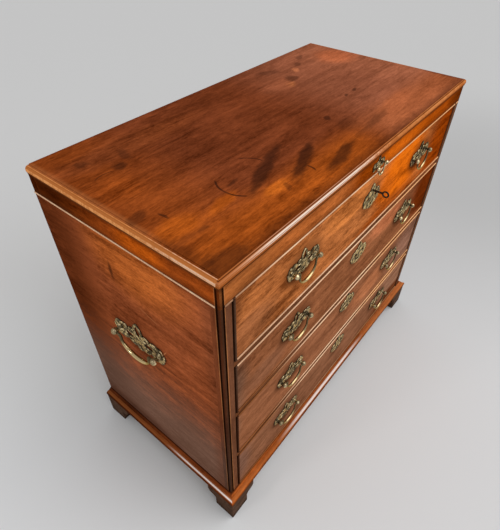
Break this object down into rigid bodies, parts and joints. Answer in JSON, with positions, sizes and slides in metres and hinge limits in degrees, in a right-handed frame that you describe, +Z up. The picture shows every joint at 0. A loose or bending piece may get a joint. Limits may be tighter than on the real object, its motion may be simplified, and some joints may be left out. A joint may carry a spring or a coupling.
{
  "type": "bachelors chest",
  "caption": "Mahogany bachelor's chest: graduated drawers with cock beads and brass drop handles under a shallow lift-up lid, on bracket feet with a moulded base.",
  "frame": {"origin": "on the floor, under the middle of the chest's box of extents", "axes": "+Z up, -Y towards the drawer fronts, +X to the right of someone who faces the drawers"},
  "size_m": [1, 0.516, 0.838],
  "materials": {
    "top_mahogany": "waxed, streaked and figured",
    "side_mahogany": "waxed",
    "front_mahogany": "waxed",
    "frieze_mahogany": "waxed",
    "carcass_mahogany": "waxed",
    "moulding_mahogany": "waxed, worn on the ridge",
    "foot_mahogany": "dull, worn",
    "bead_mahogany": "worn pale on its edge",
    "secondary_wood": "dry, unpolished",
    "aged_brass": "aged, darkened in its hollows",
    "lock_iron": "dull",
    "key_steel": "worn"
  },
  "bodies": {
    "carcass": {"side_panel_left": "side_mahogany", "side_panel_right": "side_mahogany", "corner_post_left": "carcass_mahogany", "corner_post_right": "carcass_mahogany", "carcass_bottom": "secondary_wood", "compartment_floor": "secondary_wood", "back_boards": "secondary_wood", "drawer_rails": "carcass_mahogany", "drawer_runners": "secondary_wood", "dust_boards": "secondary_wood", "base_moulding": "moulding_mahogany", "foot_front_left": "foot_mahogany", "foot_front_right": "foot_mahogany", "foot_back_left": "foot_mahogany", "foot_back_right": "foot_mahogany", "carry_mounts": "aged_brass", "lid_hinges_fixed": "aged_brass"},
    "lid": {"lid_top": "top_mahogany", "lid_frieze": "frieze_mahogany", "lid_string_bead": "bead_mahogany", "lid_hinges_moving": "aged_brass", "lid_pull_plate": "aged_brass"},
    "lid_ring": {"lid_ring": "aged_brass"},
    "carry_bail_left": {"carry_bail_left": "aged_brass"},
    "carry_bail_right": {"carry_bail_right": "aged_brass"},
    "drawer_1": {"drawer_1_front": "front_mahogany", "drawer_1_box": "secondary_wood", "drawer_1_bottom": "secondary_wood", "drawer_1_cock_bead": "bead_mahogany", "drawer_1_brass": "aged_brass", "drawer_1_lock": "lock_iron"},
    "drawer_1_bail_left": {"drawer_1_bail_left": "aged_brass"},
    "drawer_1_bail_right": {"drawer_1_bail_right": "aged_brass"},
    "drawer_2": {"drawer_2_front": "front_mahogany", "drawer_2_box": "secondary_wood", "drawer_2_bottom": "secondary_wood", "drawer_2_cock_bead": "bead_mahogany", "drawer_2_brass": "aged_brass", "drawer_2_lock": "lock_iron"},
    "drawer_2_bail_left": {"drawer_2_bail_left": "aged_brass"},
    "drawer_2_bail_right": {"drawer_2_bail_right": "aged_brass"},
    "drawer_3": {"drawer_3_front": "front_mahogany", "drawer_3_box": "secondary_wood", "drawer_3_bottom": "secondary_wood", "drawer_3_cock_bead": "bead_mahogany", "drawer_3_brass": "aged_brass", "drawer_3_lock": "lock_iron"},
    "drawer_3_bail_left": {"drawer_3_bail_left": "aged_brass"},
    "drawer_3_bail_right": {"drawer_3_bail_right": "aged_brass"},
    "drawer_4": {"drawer_4_front": "front_mahogany", "drawer_4_box": "secondary_wood", "drawer_4_bottom": "secondary_wood", "drawer_4_cock_bead": "bead_mahogany", "drawer_4_brass": "aged_brass", "drawer_4_lock": "lock_iron"},
    "drawer_4_bail_left": {"drawer_4_bail_left": "aged_brass"},
    "drawer_4_bail_right": {"drawer_4_bail_right": "aged_brass"},
    "drawer_1_bolt": {"drawer_1_bolt": "lock_iron"},
    "key": {"key": "key_steel"}
  },
  "joints": [
    {"name": "lid_hinge", "type": "hinge", "parent": "carcass", "child": "lid", "pos_m": [0, 0.254, 0.779], "axis": [-1, 0, 0], "range_deg": [0, 95]},
    {"name": "lid_ring_swing", "type": "hinge", "parent": "lid", "child": "lid_ring", "pos_m": [0, -0.2293, 0.801], "axis": [-1, 0, 0], "range_deg": [0, 100]},
    {"name": "carry_left_swing", "type": "hinge", "parent": "carcass", "child": "carry_bail_left", "pos_m": [-0.492, 0.0147, 0.517], "axis": [0, 1, 0], "range_deg": [0, 100]},
    {"name": "carry_right_swing", "type": "hinge", "parent": "carcass", "child": "carry_bail_right", "pos_m": [0.492, 0.0147, 0.517], "axis": [0, -1, 0], "range_deg": [0, 100]},
    {"name": "drawer_1_slide", "type": "slide", "parent": "carcass", "child": "drawer_1", "axis": [0, -1, 0], "range_m": [0, 0.3]},
    {"name": "drawer_1_bail_left_swing", "type": "hinge", "parent": "drawer_1", "child": "drawer_1_bail_left", "pos_m": [-0.256, -0.2323, 0.7165], "axis": [-1, 0, 0], "range_deg": [0, 100]},
    {"name": "drawer_1_bail_right_swing", "type": "hinge", "parent": "drawer_1", "child": "drawer_1_bail_right", "pos_m": [0.256, -0.2323, 0.7165], "axis": [-1, 0, 0], "range_deg": [0, 100]},
    {"name": "drawer_2_slide", "type": "slide", "parent": "carcass", "child": "drawer_2", "axis": [0, -1, 0], "range_m": [0, 0.3]},
    {"name": "drawer_2_bail_left_swing", "type": "hinge", "parent": "drawer_2", "child": "drawer_2_bail_left", "pos_m": [-0.256, -0.2323, 0.547], "axis": [-1, 0, 0], "range_deg": [0, 100]},
    {"name": "drawer_2_bail_right_swing", "type": "hinge", "parent": "drawer_2", "child": "drawer_2_bail_right", "pos_m": [0.256, -0.2323, 0.547], "axis": [-1, 0, 0], "range_deg": [0, 100]},
    {"name": "drawer_3_slide", "type": "slide", "parent": "carcass", "child": "drawer_3", "axis": [0, -1, 0], "range_m": [0, 0.3]},
    {"name": "drawer_3_bail_left_swing", "type": "hinge", "parent": "drawer_3", "child": "drawer_3_bail_left", "pos_m": [-0.256, -0.2323, 0.373], "axis": [-1, 0, 0], "range_deg": [0, 100]},
    {"name": "drawer_3_bail_right_swing", "type": "hinge", "parent": "drawer_3", "child": "drawer_3_bail_right", "pos_m": [0.256, -0.2323, 0.373], "axis": [-1, 0, 0], "range_deg": [0, 100]},
    {"name": "drawer_4_slide", "type": "slide", "parent": "carcass", "child": "drawer_4", "axis": [0, -1, 0], "range_m": [0, 0.3]},
    {"name": "drawer_4_bail_left_swing", "type": "hinge", "parent": "drawer_4", "child": "drawer_4_bail_left", "pos_m": [-0.256, -0.2323, 0.196], "axis": [-1, 0, 0], "range_deg": [0, 100]},
    {"name": "drawer_4_bail_right_swing", "type": "hinge", "parent": "drawer_4", "child": "drawer_4_bail_right", "pos_m": [0.256, -0.2323, 0.196], "axis": [-1, 0, 0], "range_deg": [0, 100]},
    {"name": "key_turn", "type": "hinge", "parent": "drawer_1", "child": "key", "pos_m": [0, -0.2203, 0.7414], "axis": [0, 1, 0], "range_deg": [0, 180]},
    {"name": "bolt_throw", "type": "slide", "parent": "drawer_1", "child": "drawer_1_bolt", "axis": [0, 0, 1], "range_m": [0, 0.008]}
  ],
  "couplings": [
    {"joint": "bolt_throw", "follows": "key_turn", "m_per_rad": 0.002546}
  ]
}
